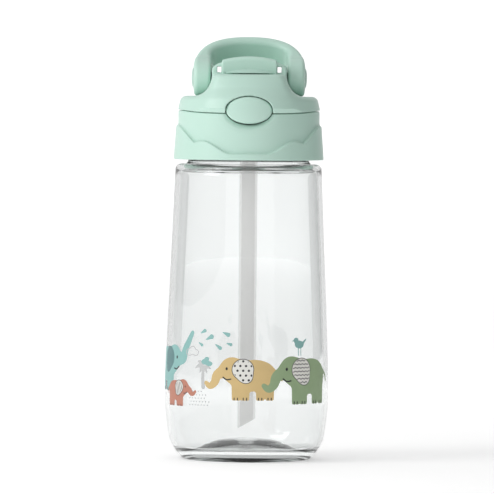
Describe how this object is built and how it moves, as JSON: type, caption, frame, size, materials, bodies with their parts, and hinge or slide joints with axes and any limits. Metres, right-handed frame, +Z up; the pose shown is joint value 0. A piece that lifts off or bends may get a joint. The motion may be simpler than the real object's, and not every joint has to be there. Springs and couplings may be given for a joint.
{
  "type": "kids water bottle",
  "caption": "Clear straw bottle with a screw lid, a push-button flip cover and a wide swinging carry handle.",
  "frame": {"origin": "centre of the base, on the surface the bottle stands on", "axes": "+Z up along the bottle, -Y towards the front, where the push button is, +X to the right seen from the front"},
  "size_m": [0.073, 0.073, 0.1891],
  "materials": {
    "clear_body": "clear copolyester, polished",
    "mint_shell": "mint polypropylene, fine satin",
    "mint_handle": "mint polypropylene, fine satin",
    "mint_button": "mint polypropylene, smooth satin",
    "white_inner": "natural acetal",
    "milky_straw": "milky translucent polyethylene",
    "soft_spout": "translucent white silicone",
    "soft_seal": "white silicone",
    "spring_steel": "stainless spring steel"
  },
  "bodies": {
    "bottle": {"bottle_body": "clear_body"},
    "straw_set": {"straw": "milky_straw"},
    "seal_set": {"lid_gasket": "soft_seal"},
    "lid": {"lid_shell": "mint_shell", "inner_cap": "mint_shell", "mouthpiece": "soft_spout", "mouthpiece_ring": "mint_shell", "vent_valve": "soft_seal", "button_guide": "white_inner", "button_spring": "spring_steel", "hinge_pin": "spring_steel", "hinge_spring_left": "spring_steel", "hinge_spring_right": "spring_steel"},
    "cover": {"flip_cover": "mint_shell", "cover_seal_pad": "soft_seal", "handle_pivot_left": "mint_handle", "handle_pivot_right": "mint_handle"},
    "handle": {"carry_handle": "mint_handle"},
    "button": {"push_button": "mint_button", "button_latch": "white_inner"}
  },
  "joints": [
    {"name": "lid_lift", "type": "slide", "parent": "bottle", "child": "straw_set", "axis": [0, 0, 1], "range_m": [0, 0.15]},
    {"name": "lid_rise", "type": "slide", "parent": "straw_set", "child": "seal_set", "axis": [0, 0, 1], "range_m": [0, 0.00501]},
    {"name": "lid_turn", "type": "hinge", "parent": "seal_set", "child": "lid", "pos_m": [0, 0, 0.14], "axis": [0, 0, 1], "range_deg": [0, 450]},
    {"name": "cover_flip", "type": "hinge", "parent": "lid", "child": "cover", "pos_m": [0, 0.0332, 0.1584], "axis": [-1, 0, 0], "range_deg": [0, 105]},
    {"name": "handle_swing", "type": "hinge", "parent": "cover", "child": "handle", "pos_m": [0, 0.002, 0.1701], "axis": [1, 0, 0], "range_deg": [0, 92]},
    {"name": "button_press", "type": "slide", "parent": "lid", "child": "button", "axis": [0, 1, 0], "range_m": [0, 0.002], "stiffness_N_per_m": 400, "springref_m": -0.0015, "deforming": ["button_spring"]}
  ],
  "couplings": [
    {"joint": "lid_rise", "follows": "lid_turn", "m_per_rad": 0.00063662}
  ]
}
